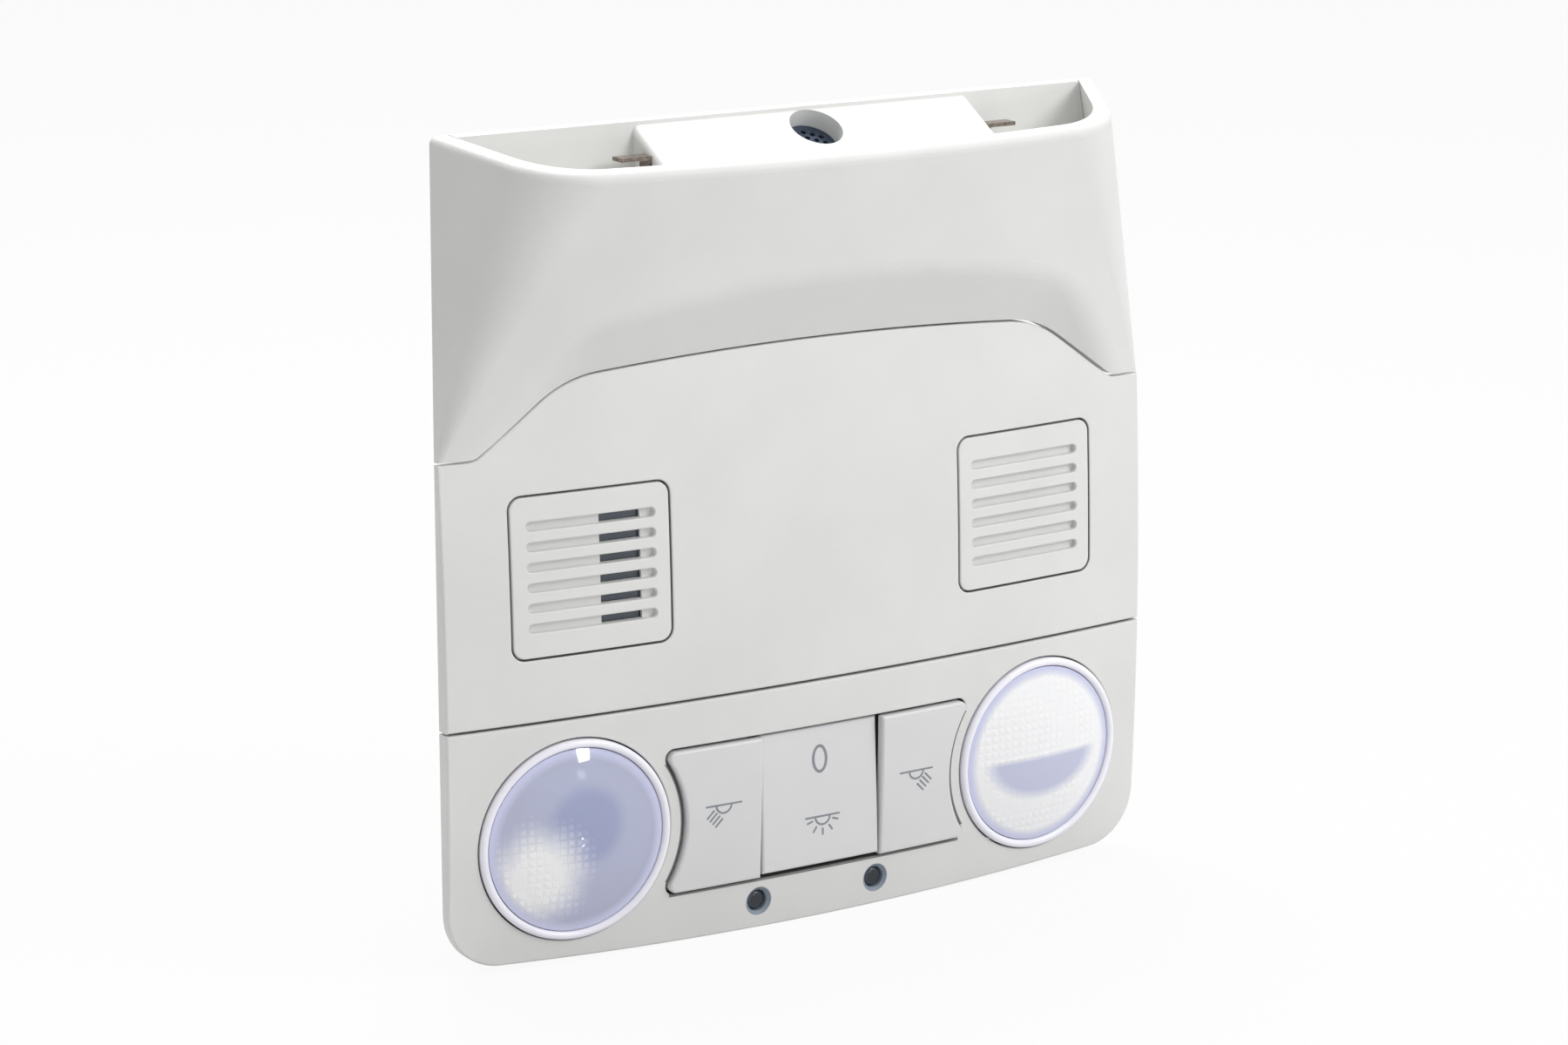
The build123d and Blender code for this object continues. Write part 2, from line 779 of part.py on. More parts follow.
def make_reflector(side):
    """Deep bowl with a flat rim and a hole for the bulb."""
    rim_radius = bezel_radius - bezel_wall - reflector_gap
    mouth = lens_seat_radius - bezel_ledge + reflector_gap
    rim_back = bezel_back + reflector_wall
    belly_back = reflector_belly_depth + reflector_wall / 2
    belly_radius = mouth - reflector_taper
    inside = ThreePointArc(
        (mouth, -bezel_back), (belly_radius, -reflector_belly_depth),
        (reflector_floor_radius, -reflector_depth),
    )
    floor = Polyline(
        (reflector_floor_radius, -reflector_depth), (reflector_hole_radius, -reflector_depth),
        (reflector_hole_radius, -reflector_back), (reflector_floor_radius + reflector_wall, -reflector_back),
    )
    outside = ThreePointArc(
        (reflector_floor_radius + reflector_wall, -reflector_back),
        (belly_radius + reflector_wall, -belly_back), (mouth + reflector_wall, -rim_back),
    )
    rim = Polyline(
        (mouth + reflector_wall, -rim_back), (rim_radius, -rim_back),
        (rim_radius, -bezel_back), (mouth, -bezel_back),
    )
    return lamp_plane(side) * turned(inside, floor, outside, rim)


def make_bulb(side):
    """Plain bulb with a round end."""
    half = bulb_radius * math.sqrt(0.5)
    shoulder = bulb_tip + bulb_radius
    nose = ThreePointArc((0, -bulb_tip), (half, half - shoulder), (bulb_radius, -shoulder))
    body = Polyline((bulb_radius, -shoulder), (bulb_radius, -bulb_end), (0, -bulb_end), (0, -bulb_tip))
    return lamp_plane(side) * turned(nose, body)


def make_bulb_holder(side):
    """Flanged holder behind the reflector."""
    bore = bulb_radius + holder_bore_gap
    flange_back = reflector_back + holder_flange
    holder_back = bulb_end + holder_floor
    profile = Polyline(
        (bore, -reflector_back), (holder_flange_radius, -reflector_back),
        (holder_flange_radius, -flange_back), (holder_radius, -flange_back), (holder_radius, -holder_back),
        (0, -holder_back), (0, -bulb_end), (bore, -bulb_end), (bore, -reflector_back),
    )
    return lamp_plane(side) * turned(profile)


# Switch group


def switch_outline(gap):
    """Opening for the keys, drawn in by a gap, with sides that follow the round lamps."""
    outline = Pos(0, switch_mid) * Rectangle(2 * lamp_x, switch_top - switch_bottom - 2 * gap)
    for side in SIDES.values():
        outline -= Pos(side * lamp_x, lamp_z) * Circle(switch_side_radius + gap)
    outline = Sketch() + outline.faces().sort_by(lambda face: abs(face.center().X))[0]
    return fillet(outline.vertices(), switch_corner - gap)


def key_outline(side, inner_x):
    """Part of the key opening beyond a distance from the middle."""
    half = Pos(side * (inner_x + lamp_x / 2), switch_mid) * Rectangle(lamp_x, face_width)
    return switch_outline(key_gap) & half


def domed_plate(outline, proud, thickness):
    """Plate that follows the dome, with its front edge softened."""
    plate = prism(outline, rim_y, far_front) & dome(proud)
    plate -= dome(proud - thickness)
    return fillet(front_face(plate).edges(), key_edge)


def make_key(side):
    """Push key: domed plate, skirt and a square stem."""
    plate = domed_plate(key_outline(side, rocker_half_width + key_gap), key_proud, key_plate)
    skirt_outline = key_outline(side, partition_x + partition_wall + key_gap)
    ring = skirt_outline - offset(skirt_outline, -key_skirt_wall)
    skirt_back = apex_y - key_proud + key_plate + key_skirt
    inside = dome(key_proud - key_plate / 2)
    stem_x = span(side * key_stem_x, stem_side)
    stem = block(stem_x, (far_front, stem_end_y), span(switch_mid, stem_side)) & inside
    return plate + (prism(ring, skirt_back, far_front) & inside) + stem


def make_plunger(side):
    """Square push rod from a key's stem into its switch."""
    x_range = span(side * key_stem_x, plunger_side)
    return block(x_range, (stem_end_y, plunger_end_y), span(switch_mid, plunger_side))


def make_push_switch(side):
    """Push switch on the board, with a well for the plunger's travel."""
    x = side * key_stem_x
    body = block(span(x, push_switch_side), (push_switch_top_y, board_y), span(switch_mid, push_switch_side))
    well = plunger_side + 2 * plunger_gap
    well_y_range = (push_switch_top_y, plunger_end_y + key_travel + plunger_gap)
    return body - block(span(x, well), well_y_range, span(switch_mid, well))


def pivot_bar(inner_x, outer_x, radius, side):
    """Round bar along X at the rocker's pivot."""
    turn = Pos(side * (inner_x + outer_x) / 2, rocker_pivot_y, switch_mid) * Rot(0, 90, 0)
    return turn * Cylinder(radius, outer_x - inner_x)


def make_rocker():
    """Rocker with its pivot pins and forked leg, resting with the upper end pressed in."""
    length = switch_top - switch_bottom - 2 * rocker_end_gap
    outline = Pos(0, switch_mid) * Rectangle(2 * rocker_half_width, length)
    rocker = domed_plate(outline, rocker_proud, rocker_plate)
    inside = dome(rocker_proud - rocker_plate / 2)
    fork_width = slider_peg + 2 * (fork_gap + fork_prong)
    leg = block(span(0, rocker_leg_width), (far_front, fork_end_y), span(switch_mid, fork_width)) & inside
    slot_y = (slider_peg_top_y - fork_slot_margin, fork_end_y)
    leg -= block(span(0, rocker_leg_width), slot_y, span(switch_mid, slider_peg + 2 * fork_gap))
    rocker += leg
    for side in SIDES.values():
        x_range = sided(side, rocker_half_width - rocker_web, rocker_half_width)
        web_y = (far_front, rocker_pivot_y + rocker_web_back)
        rocker += block(x_range, web_y, span(switch_mid, rocker_web_length)) & inside
        pin_end = partition_x + partition_wall - rocker_pin_end_gap
        rocker += pivot_bar(rocker_half_width - rocker_web / 2, pin_end, rocker_pin_radius, side)
    pivot = Axis((0, rocker_pivot_y, switch_mid), (1, 0, 0))
    return rocker.rotate(pivot, -rocker_tilt_deg)


def make_switch_body():
    """Open box around the keys, with the rocker's bearings and a back wall."""
    outer = switch_outline(-switch_margin - switch_wall)
    inner = switch_outline(-switch_margin)
    back_y = switch_back_y + switch_back_wall
    body = prism(outer - inner, board_y, switch_front_y) + prism(outer, back_y, switch_back_y)
    z_range = (switch_bottom - switch_margin - switch_wall, switch_top + switch_margin + switch_wall)
    hole = plunger_side + 2 * plunger_gap
    for side in SIDES.values():
        x_range = sided(side, partition_x, partition_x + partition_wall)
        body += block(x_range, (switch_front_y, back_y), z_range)
        pin_radius = rocker_pin_radius + rocker_pin_clearance
        body -= pivot_bar(partition_x - partition_wall, partition_x + 2 * partition_wall, pin_radius, side)
        body -= block(span(side * key_stem_x, hole), (0, board_y), span(switch_mid, hole))
    leg_width = rocker_leg_width + 2 * fork_slot_margin
    leg_swing = slider_peg + 2 * (fork_gap + fork_prong + slider_swing + fork_slot_margin)
    body -= block(span(0, leg_width), (0, board_y), span(switch_mid, leg_swing))
    return body & dome(-skin - frame_dome_gap)


def make_slide_switch():
    """Slide switch on the board, with a chamber for its slider under a slotted lid."""
    y_range = (slide_switch_top_y, board_y)
    body = block(span(0, slide_switch_width), y_range, span(switch_mid, slide_switch_length))
    play = 2 * (slider_swing + slider_gap)
    chamber_y = (slide_switch_top_y + slide_switch_lid, slider_base_y + slider_gap)
    chamber_z = span(switch_mid, slider_length + play)
    body -= block(span(0, slider_width + 2 * slider_gap), chamber_y, chamber_z)
    slot = block(span(0, slider_peg + 2 * slider_gap), y_range, span(switch_mid, slider_peg + play))
    return body - (slot & block(span(0, slider_width), (0, chamber_y[1]), chamber_z))


def make_slider():
    """Slider with the peg that the rocker's fork drives."""
    base_y = (slide_switch_top_y + slide_switch_lid + slider_gap, slider_base_y)
    base = block(span(0, slider_width), base_y, span(slider_rest_z, slider_length))
    peg = block(span(0, slider_peg), (slider_peg_top_y, base_y[0]), span(slider_rest_z, slider_peg))
    return base + peg


def make_ambient_led(side):
    """Round-nosed ambient light seated on its collar."""
    x = side * led_x
    radius = led_hole_radius - led_gap
    body = rod(x, led_z, radius, led_collar_y, dome_y(x, led_z) + led_recess)
    body = fillet(body.edges().sort_by(Axis.Y)[0], radius / 2)
    return body + rod(x, led_z, led_flange_radius, led_collar_y + led_flange, led_collar_y)


# Louvred inserts and motion sensor


def grille_outline(side, gap):
    """Square opening of a louvred insert, drawn in by a gap."""
    width = grille_outer_x - grille_inner_x - 2 * gap
    height = grille_high_z - grille_low_z - 2 * gap
    centre = Pos(side * (grille_outer_x + grille_inner_x) / 2, (grille_high_z + grille_low_z) / 2)
    return centre * RectangleRounded(width, height, grille_round - gap)


def slot_heights():
    """Middles of the slots."""
    return [slot_low_z + slot_pitch * index for index in range(slot_count)]


def soften_grille(grille):
    """Round the front edges of an insert and of its slots."""
    return fillet(front_face(grille).edges(), opening_edge)


def make_grille(side):
    """Louvred insert with blind slots; the left one has windows for the sensor."""
    flange_front = skin + grille_flange_gap
    plate = prism(grille_outline(side, grille_gap), rim_y, far_front) & dome()
    flange = prism(grille_outline(side, -grille_flange), rim_y, far_front) & dome(-flange_front)
    grille = plate + flange - dome(-flange_front - grille_flange_thickness)
    slot_x = side * (slot_outer_x + slot_inner_x) / 2
    slot = SlotOverall(slot_outer_x - slot_inner_x, slot_height)
    blind = prism(Sketch() + [Pos(slot_x, z) * slot for z in slot_heights()], rim_y, far_front)
    grille -= blind - dome(-slot_depth)
    grille = soften_grille(grille)
    if side == SIDES["left"]:
        window_x = side * (window_outer_x + window_inner_x) / 2
        window = Rectangle(window_outer_x - window_inner_x, slot_height)
        grille -= prism(Sketch() + [Pos(window_x, z) * window for z in slot_heights()], rim_y, far_front)
        grille -= sensor_block(sensor_margin + sensor_gap, slot_depth + window_floor)
    return grille


def sensor_limits(margin):
    """Limits in X and Z of the windows in the left insert, grown by a margin."""
    half = slot_height / 2 + margin
    z_range = (slot_heights()[0] - half, slot_heights()[-1] + half)
    return sided(SIDES["left"], window_inner_x - margin, window_outer_x + margin), z_range


def sensor_block(margin, depth):
    """Block from the board to a depth behind the face, behind the windows."""
    x_range, z_range = sensor_limits(margin)
    return block(x_range, (far_front, board_y), z_range) & dome(-depth)


def make_motion_sensor():
    """Motion sensor on the board, its front in the pocket of the left insert."""
    return sensor_block(sensor_margin, slot_depth + window_floor + sensor_gap)


# Board, connector and rear housing


def make_circuit_board():
    """Tee-shaped board between the lamps and behind the sensor."""
    y_range = (board_y, board_y + board)
    stem = block(span(0, 2 * board_low_half), y_range, (board_low_z, board_step_z))
    return stem + block(span(0, 2 * board_half), y_range, (board_step_z, board_top_z))


def make_connector_socket():
    """Open plug socket on the back of the board."""
    y_range = (board_y + board, socket_end_y)
    body = block(span(0, socket_width), y_range, span(socket_z, socket_height))
    inner_y = (y_range[0] + socket_floor, socket_end_y)
    inner_x = span(0, socket_width - 2 * socket_wall)
    return body - block(inner_x, inner_y, span(socket_z, socket_height - 2 * socket_wall))


def make_connector_pins():
    """Row of contact pins on the socket's floor."""
    start = board_y + board + socket_floor
    places = [(index - (pin_count - 1) / 2) * pin_pitch for index in range(pin_count)]
    pins = [block(span(x, pin_side), (start, start + pin_length), span(socket_z, pin_side)) for x in places]
    return Compound([pin.solid() for pin in pins])


def housing_form(inset, depth):
    """Tapered box of the rear housing, drawn in by an inset."""
    sections = []
    limits = [(0, housing_half, housing_bottom, housing_top)]
    limits.append((depth, housing_back_half, housing_back_bottom, housing_back_top))
    for y, half, bottom, top in limits:
        outline = RectangleRounded(2 * (half - inset), top - bottom - 2 * inset, housing_corner - inset)
        sections.append(front_plane(y) * Pos(0, (top + bottom) / 2) * outline)
    return loft(sections, ruled=True)


def make_rear_housing():
    """Cover over the lamps and the board, with screw ears and board posts."""
    inner = housing_form(housing_wall, housing_inside_y)
    outer = housing_form(0, housing_depth)
    for side in SIDES.values():
        recess = fixing_recess_radius + housing_wall
        inner -= rod(side * fixing_x, 0, recess, housing_depth, 0)
        outer -= rod(side * fixing_x, 0, fixing_recess_radius, housing_depth, 0)
    for x, z in ears():
        outer += rod(x, z, ear_radius, ear_thickness, 0)
    housing = outer - inner
    for x, z in ears():
        housing -= rod(x, z, screw_pass_radius, ear_thickness, 0)
    for side in SIDES.values():
        for z in (housing_post_low_z, housing_post_high_z):
            housing += rod(side * housing_post_x, z, housing_post_radius, housing_depth, board_y + board)
    socket_x = span(0, socket_width + 2 * socket_gap)
    socket_z_range = span(socket_z, socket_height + 2 * socket_gap)
    return housing - block(socket_x, (board_y, socket_end_y), socket_z_range)


def make_all():
    """Every piece by name."""
    pieces = {
        "lamp_panel": make_lamp_panel(),
        "sensor_panel": make_sensor_panel(),
        "hood": make_hood(),
        "end_cap": make_end_cap(),
        "mic_grille": make_mic_grille(),
        "mic_capsule": make_mic_capsule(),
        "base_frame": make_base_frame(),
        "panel_screws": make_panel_screws(),
        "housing_screws": make_housing_screws(),
        "motion_sensor": make_motion_sensor(),
        "rocker": make_rocker(),
        "switch_body": make_switch_body(),
        "slide_switch": make_slide_switch(),
        "switch_slider": make_slider(),
        "circuit_board": make_circuit_board(),
        "connector_socket": make_connector_socket(),
        "connector_pins": make_connector_pins(),
        "rear_housing": make_rear_housing(),
    }
    paired = {
        "lens_bezel": make_bezel,
        "lens": make_lens,
        "reflector": make_reflector,
        "bulb": make_bulb,
        "bulb_holder": make_bulb_holder,
        "grille": make_grille,
        "key": make_key,
        "plunger": make_plunger,
        "push_switch": make_push_switch,
        "ambient_led": make_ambient_led,
        "clip": make_clip,
    }
    for word, side in SIDES.items():
        for name, make in paired.items():
            pieces[word + "_" + name] = make(side)
    return pieces


os.makedirs("parts", exist_ok=True)
for piece_name, piece in make_all().items():
    export_step(piece, os.path.join("parts", piece_name + ".step"))
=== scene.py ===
import bpy
import json
import math
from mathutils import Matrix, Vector


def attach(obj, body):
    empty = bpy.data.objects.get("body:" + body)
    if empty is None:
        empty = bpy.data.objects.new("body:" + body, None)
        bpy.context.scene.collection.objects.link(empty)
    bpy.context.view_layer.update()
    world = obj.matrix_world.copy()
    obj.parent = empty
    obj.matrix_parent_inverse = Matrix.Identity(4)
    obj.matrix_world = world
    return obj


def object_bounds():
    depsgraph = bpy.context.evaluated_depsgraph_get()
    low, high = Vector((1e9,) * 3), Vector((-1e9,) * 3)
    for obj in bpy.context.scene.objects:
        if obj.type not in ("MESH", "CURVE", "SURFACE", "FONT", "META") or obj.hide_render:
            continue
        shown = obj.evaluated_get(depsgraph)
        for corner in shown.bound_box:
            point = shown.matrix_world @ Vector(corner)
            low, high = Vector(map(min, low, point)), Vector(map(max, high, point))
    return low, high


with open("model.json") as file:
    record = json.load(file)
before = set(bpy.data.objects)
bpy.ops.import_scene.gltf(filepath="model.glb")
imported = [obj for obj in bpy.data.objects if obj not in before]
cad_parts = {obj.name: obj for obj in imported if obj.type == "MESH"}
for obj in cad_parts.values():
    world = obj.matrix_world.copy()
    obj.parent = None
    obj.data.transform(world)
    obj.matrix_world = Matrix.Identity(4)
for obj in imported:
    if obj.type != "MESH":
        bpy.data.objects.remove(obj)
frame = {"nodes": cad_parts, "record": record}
cad_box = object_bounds()
nodes = frame["nodes"]

# Lengths are metres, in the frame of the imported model: X across the face, +Y to the back, +Z to the hood.
MM = 0.001

# Camera that took the picture
CAMERA_PLACE = Vector((-467.35, -736.33, 243.50)) * MM
CAMERA_TARGET = Vector((-9.211, -10.4, 34.667)) * MM
CAMERA_LENS_MM = 99.46
CAMERA_SENSOR_MM = 36.0

# Sockets of a node that mixes two colours
MIX_SHARE = 0
MIX_START = 6
MIX_END = 7
MIX_RESULT = 2

# Keeps what runs across the face and up it, and drops the depth
ACROSS_FACE = (1.0, 0.0, 1.0)

# Domed face, and the depths below it where the painted shade in its gaps starts and is full
DOME_RADIUS = 770.0 * MM
DOME_FRONT_Y = -10.4 * MM
GAP_PAINTED_SHADE_START = 0.15 * MM
GAP_PAINTED_SHADE_END = 0.3 * MM

# Openings of the lamp panel: widths from the middle of the face, and drops below the frame's origin
SWITCH_REACH = 40.0 * MM
LAMP_REACH = 23.0 * MM
OPENINGS_MID_DROP = 26.0 * MM
OPENINGS_HALF_HEIGHT = 23.0 * MM
KEYS_SIDE_RADIUS = 24.25 * MM
KEYS_MID_DROP = 25.35 * MM
KEYS_HALF_HEIGHT = 12.7 * MM
KEYS_LOW_DROP = 41.05 * MM
KEYS_HALF_WIDTH = 35.9 * MM
LINE_HALF_WIDTH = 0.5 * MM
# Colours of the painted shade in the openings and of the painted shadow line beside the keys
OPENING_PAINTED_SHADE = "#6C6C6A"
KEY_LINE_PAINTED_SHADE = "#747472"

# Gaps of the sensor panel, and the colour of the painted shade in them
SEAM_HALF_WIDTH = 84.2 * MM
INSERTS_TOP_Z = 50.0 * MM
SEAM_PAINTED_SHADE = "#8C8C88"

# Reading lamps: places and edges on a lens are counted in its radii
LENS_X = 57.2 * MM
LENS_Z = -25.6 * MM
LENS_FOLDED = (LENS_X, 0.0, -LENS_Z)
LENS_RADIUS = 19.3 * MM
LENS_IOR = 1.58
LENS_MIDDLE = (0.0, 0.0, 0.0)
LENS_RIM_START = 0.88
LENS_RIM_END = 0.97
LENS_RIM_TINT = "#DFE2FF"
LENS_RIM_CLEARNESS = 0.2
LENS_POLISH = 0.03
# Painted shade on the left lens: a darker patch that stands in for the dark end of the reflector and the bulb
# seen through it
LENS_PAINTED_SHADE_MIDDLE = (0.07, 0.0, 0.16)
LENS_PAINTED_SHADE_START = 0.3
LENS_PAINTED_SHADE_END = 0.52
PILLOW_SIZE = 1.7 * MM
PILLOW_DEPTH = 0.25 * MM
PILLOW_UNEVENNESS = 0.12
MILKY_MIDDLE = (-0.47, 0.0, -0.33)
MILKY_START = 0.3
MILKY_END = 0.8
MILKY_RAGGEDNESS = 0.25
MILKY_TINT = "#FFFFFF"
MILKY_CLEARNESS = 0.08
MILKY_ROUGHNESS = 0.3
WINDOW_STRETCH = (1.25, 0.0, 1.95)
WINDOW_START = 0.75
WINDOW_END = 1.0
WINDOW_TOP_START = -0.05
WINDOW_TOP_END = 0.02
WINDOW_RAGGEDNESS = 0.15

# Ambient lights, whose dark middle and pale rim are counted in their radius
LED_X = 14.5 * MM
LED_Z = -46.0 * MM
LED_FOLDED = (LED_X, 0.0, -LED_Z)
LED_RADIUS = 2.15 * MM
LED_MOUTH_RADIUS = 3.05 * MM
# Grey-blue painted shade on the flared mouth of each small hole in the pale panel
LED_MOUTH_PAINTED_SHADE = "#87929E"
LED_DARK_END = 0.6
LED_RIM_START = 0.95

# Mouldings, glass and resin
FASCIA_SHADES = ("#DFDFDD", "#DADAD8")
ABS_IOR = 1.53
ABS_PATCH_MM = 22.0
ABS_GRAIN_DEPTH_MM = 0.05
CLOUD_DETAIL = 3.0
CLOUD_DARK_END = 0.3
CLOUD_LIGHT_START = 0.7
GRAIN_DETAIL = 2.0
GLASS_IOR = 1.5
RESIN_IOR = 1.5

# Moulded finishes: slot, material, light and dark shade, roughness, width of the grain in mm, its strength
MOULDED_FINISHES = (
    ("insert_plastic", "insert_abs", "#E0E0DE", "#DBDBD9", 0.48, 0.35, 0.2),
    ("key_plastic", "key_abs", "#DDDDDE", "#D9D9DA", 0.42, 0.3, 0.15),
    ("bezel_plastic", "bezel_abs", "#FAF9FF", "#F1F0FA", 0.25, 0.5, 0.05),
    ("black_plastic", "carrier_abs", "#232426", "#1B1C1E", 0.55, 0.5, 0.3),
    ("switch_plastic", "switch_nylon", "#55565A", "#4A4B4F", 0.5, 0.5, 0.25),
    ("sensor_plastic", "sensor_abs", "#4E5660", "#464D56", 0.4, 0.5, 0.1),
    ("board_laminate", "board_laminate", "#1F6A43", "#1A5A39", 0.35, 0.4, 0.1),
)

# Metal finishes: slot, material, light and dark shade, roughness
METAL_FINISHES = (
    ("mic_metal", "black_sheet_steel", "#5E6A7C", "#4A5566", 0.5),
    ("spring_steel", "spring_steel", "#9A8F86", "#6F665E", 0.35),
    ("plated_steel", "zinc_plated_steel", "#C9CBD0", "#A9ACB4", 0.32),
    ("tinned_brass", "tinned_brass", "#DAD3BC", "#BDB394", 0.3),
)

# Signs printed on the keys
INK_WIDTH = 0.42 * MM
INK_DEPTH = 0.03 * MM
INK_POINTS = 16
RING_POINTS = 48
PRINT_START_Y = -20 * MM
ZERO_CENTRE = Vector((0, PRINT_START_Y, -17.2 * MM))
ZERO_HALF_WIDTH = 1.9 * MM
ZERO_HALF_HEIGHT = 3.05 * MM
ZERO_INK_WIDTH = 0.62 * MM
SIGN_HALF_BAR = 4.1 * MM
SIGN_DOME = 2.0 * MM
ROOF_SIGN_CENTRE = Vector((0.4 * MM, PRINT_START_Y, -29.6 * MM))
ROOF_RAY_ANGLES = (-72, -36, 0, 36, 72)
ROOF_RAY_START = 2.7 * MM
ROOF_RAY_END = 3.9 * MM
READING_SIGN_CENTRES = {
    "left": Vector((-24.05 * MM, PRINT_START_Y, -22.9 * MM)),
    "right": Vector((23.5 * MM, PRINT_START_Y, -23.3 * MM)),
}
READING_RAY_OFFSETS = (0.95, 0.0, -0.95, -1.9)
READING_RAY_START = 2.4 * MM
READING_RAY_END = 4.5 * MM

# Studio
FLOOR_HALF = 3.0
FLOOR_WHITE = 0.93
FLOOR_GLOW = 1.0
PAPER_SHADE = "#CFCFCF"
WORLD_SHADE = "#FFFFFF"
WORLD_STRENGTH = 0.6
WORLD_SEEN_STRENGTH = 1.0
KEY_PLACE = Vector((0.45, -0.6, 0.55))
KEY_SIZE = 0.4
KEY_WATTS = 3.4
CATCH_PLACE = Vector((0.3, -0.9, 0.02))
CATCH_SIZE = 0.055
CATCH_WATTS = 0.4
TOP_PLACE = Vector((0.1, 0.4, 1.0))
TOP_SIZE = 0.6
TOP_WATTS = 9.0


def linear(hex_colour):
    """Turns an sRGB hex colour into linear red, green, blue and alpha."""
    channels = [int(hex_colour[i:i + 2], 16) / 255 for i in (1, 3, 5)]
    return [c / 12.92 if c <= 0.04045 else ((c + 0.055) / 1.055) ** 2.4 for c in channels] + [1.0]


def add_node(tree, kind, settings=None, inputs=None):
    """Adds a node, sets its properties, and sets or links its inputs."""
    node = tree.nodes.new(kind)
    for name, value in (settings or {}).items():
        setattr(node, name, value)
    for name, value in (inputs or {}).items():
        if isinstance(value, bpy.types.NodeSocket):
            tree.links.new(value, node.inputs[name])
        else:
            node.inputs[name].default_value = value
    return node


def start_material(name, settings):
    """New material with its shader's plain sockets set."""
    material = bpy.data.materials.new(name)
    material.use_nodes = True
    shader = material.node_tree.nodes["Principled BSDF"]
    for socket, value in settings.items():
        shader.inputs[socket].default_value = value
    return material, material.node_tree, shader


def mottled(tree, shader, light, dark, patch_mm):
    """Slow change of colour over the surface, between two near shades."""
    place = add_node(tree, "ShaderNodeTexCoord").outputs["Object"]
    cloud = add_node(
        tree, "ShaderNodeTexNoise",
        inputs={"Vector": place, "Scale": 1 / (patch_mm * MM), "Detail": CLOUD_DETAIL},
    )
    ramp = add_node(tree, "ShaderNodeValToRGB", inputs={"Fac": cloud.outputs["Fac"]})
    ramp.color_ramp.elements[0].position = CLOUD_DARK_END
    ramp.color_ramp.elements[0].color = linear(dark)
    ramp.color_ramp.elements[1].position = CLOUD_LIGHT_START
    ramp.color_ramp.elements[1].color = linear(light)
    tree.links.new(ramp.outputs["Color"], shader.inputs["Base Color"])


def grained(tree, shader, grain_mm, depth_mm, strength):
    """Fine uneven grain, as bump."""
    place = add_node(tree, "ShaderNodeTexCoord").outputs["Object"]
    grain = add_node(
        tree, "ShaderNodeTexNoise",
        inputs={"Vector": place, "Scale": 1 / (grain_mm * MM), "Detail": GRAIN_DETAIL},
    )
    bump = add_node(
        tree, "ShaderNodeBump",
        inputs={"Height": grain.outputs["Fac"], "Strength": strength, "Distance": depth_mm * MM},
    )
    tree.links.new(bump.outputs["Normal"], shader.inputs["Normal"])


def moulded_abs(name, light, dark, roughness, grain_mm, strength):
    """Moulded ABS: matt, with a fine eroded grain and a barely uneven shade."""
    material, tree, shader = start_material(name, {"Roughness": roughness, "IOR": ABS_IOR})
    mottled(tree, shader, light, dark, ABS_PATCH_MM)
    grained(tree, shader, grain_mm, ABS_GRAIN_DEPTH_MM, strength)
    return material


def fascia_abs(name):
    """Pale moulded ABS of the panels and the hood."""
    return moulded_abs(name, *FASCIA_SHADES, roughness=0.5, grain_mm=0.35, strength=0.25)


def colour_sockets(material):
    """Socket that takes a finish's colour, and the one that feeds it."""
    base = material.node_tree.nodes["Principled BSDF"].inputs["Base Color"]
    return base, base.links[0].from_socket


def folded_place(tree):
    """Place on the part without plus and minus: left folds onto right, and below the origin onto above."""
    place = add_node(tree, "ShaderNodeTexCoord").outputs["Object"]
    return add_node(tree, "ShaderNodeVectorMath", {"operation": "ABSOLUTE"}, {0: place}).outputs["Vector"]


def reach_from(tree, place, middle):
    """Distance of a place from a point, seen square on to the face."""
    away = add_node(tree, "ShaderNodeVectorMath", {"operation": "SUBTRACT"}, {0: place, 1: middle})
    flat = add_node(
        tree, "ShaderNodeVectorMath", {"operation": "MULTIPLY"}, {0: away.outputs["Vector"], 1: ACROSS_FACE}
    )
    reach = add_node(tree, "ShaderNodeVectorMath", {"operation": "LENGTH"}, {0: flat.outputs["Vector"]})
    return reach.outputs["Value"]


def near_openings(tree, folded):
    """Mask for the painted shade: one near the key opening and the two lamp openings, and zero at the panel's
    outer edges.
    """
    across = add_node(tree, "ShaderNodeSeparateXYZ", inputs={"Vector": folded})
    keys = add_node(
        tree, "ShaderNodeMath", {"operation": "LESS_THAN"}, {0: across.outputs["X"], 1: SWITCH_REACH}
    )
    lamps = add_node(
        tree, "ShaderNodeMath", {"operation": "LESS_THAN"},
        {0: reach_from(tree, folded, LENS_FOLDED), 1: LAMP_REACH},
    )
    either = add_node(
        tree, "ShaderNodeMath", {"operation": "MAXIMUM"},
        {0: keys.outputs["Value"], 1: lamps.outputs["Value"]},
    )
    level = add_node(
        tree, "ShaderNodeMath", {"operation": "COMPARE"},
        {0: across.outputs["Z"], 1: OPENINGS_MID_DROP, 2: OPENINGS_HALF_HEIGHT},
    )
    return add_node(
        tree, "ShaderNodeMath", {"operation": "MULTIPLY"},
        {0: either.outputs["Value"], 1: level.outputs["Value"]},
    ).outputs["Value"]


def painted_gap_shade(tree, mask):
    """Share of painted shade: full a little below the domed face where the mask is one, none on the face."""
    place = add_node(tree, "ShaderNodeTexCoord").outputs["Object"]
    middle = (0.0, DOME_FRONT_Y + DOME_RADIUS, 0.0)
    reach = add_node(tree, "ShaderNodeVectorMath", {"operation": "DISTANCE"}, {0: place, 1: middle})
    depth = add_node(
        tree, "ShaderNodeMapRange",
        inputs={
            "Value": reach.outputs["Value"],
            "From Min": DOME_RADIUS - GAP_PAINTED_SHADE_START,
            "From Max": DOME_RADIUS - GAP_PAINTED_SHADE_END,
        },
    )
    return add_node(
        tree, "ShaderNodeMath", {"operation": "MULTIPLY"}, {0: depth.outputs["Result"], 1: mask}
    ).outputs["Value"]


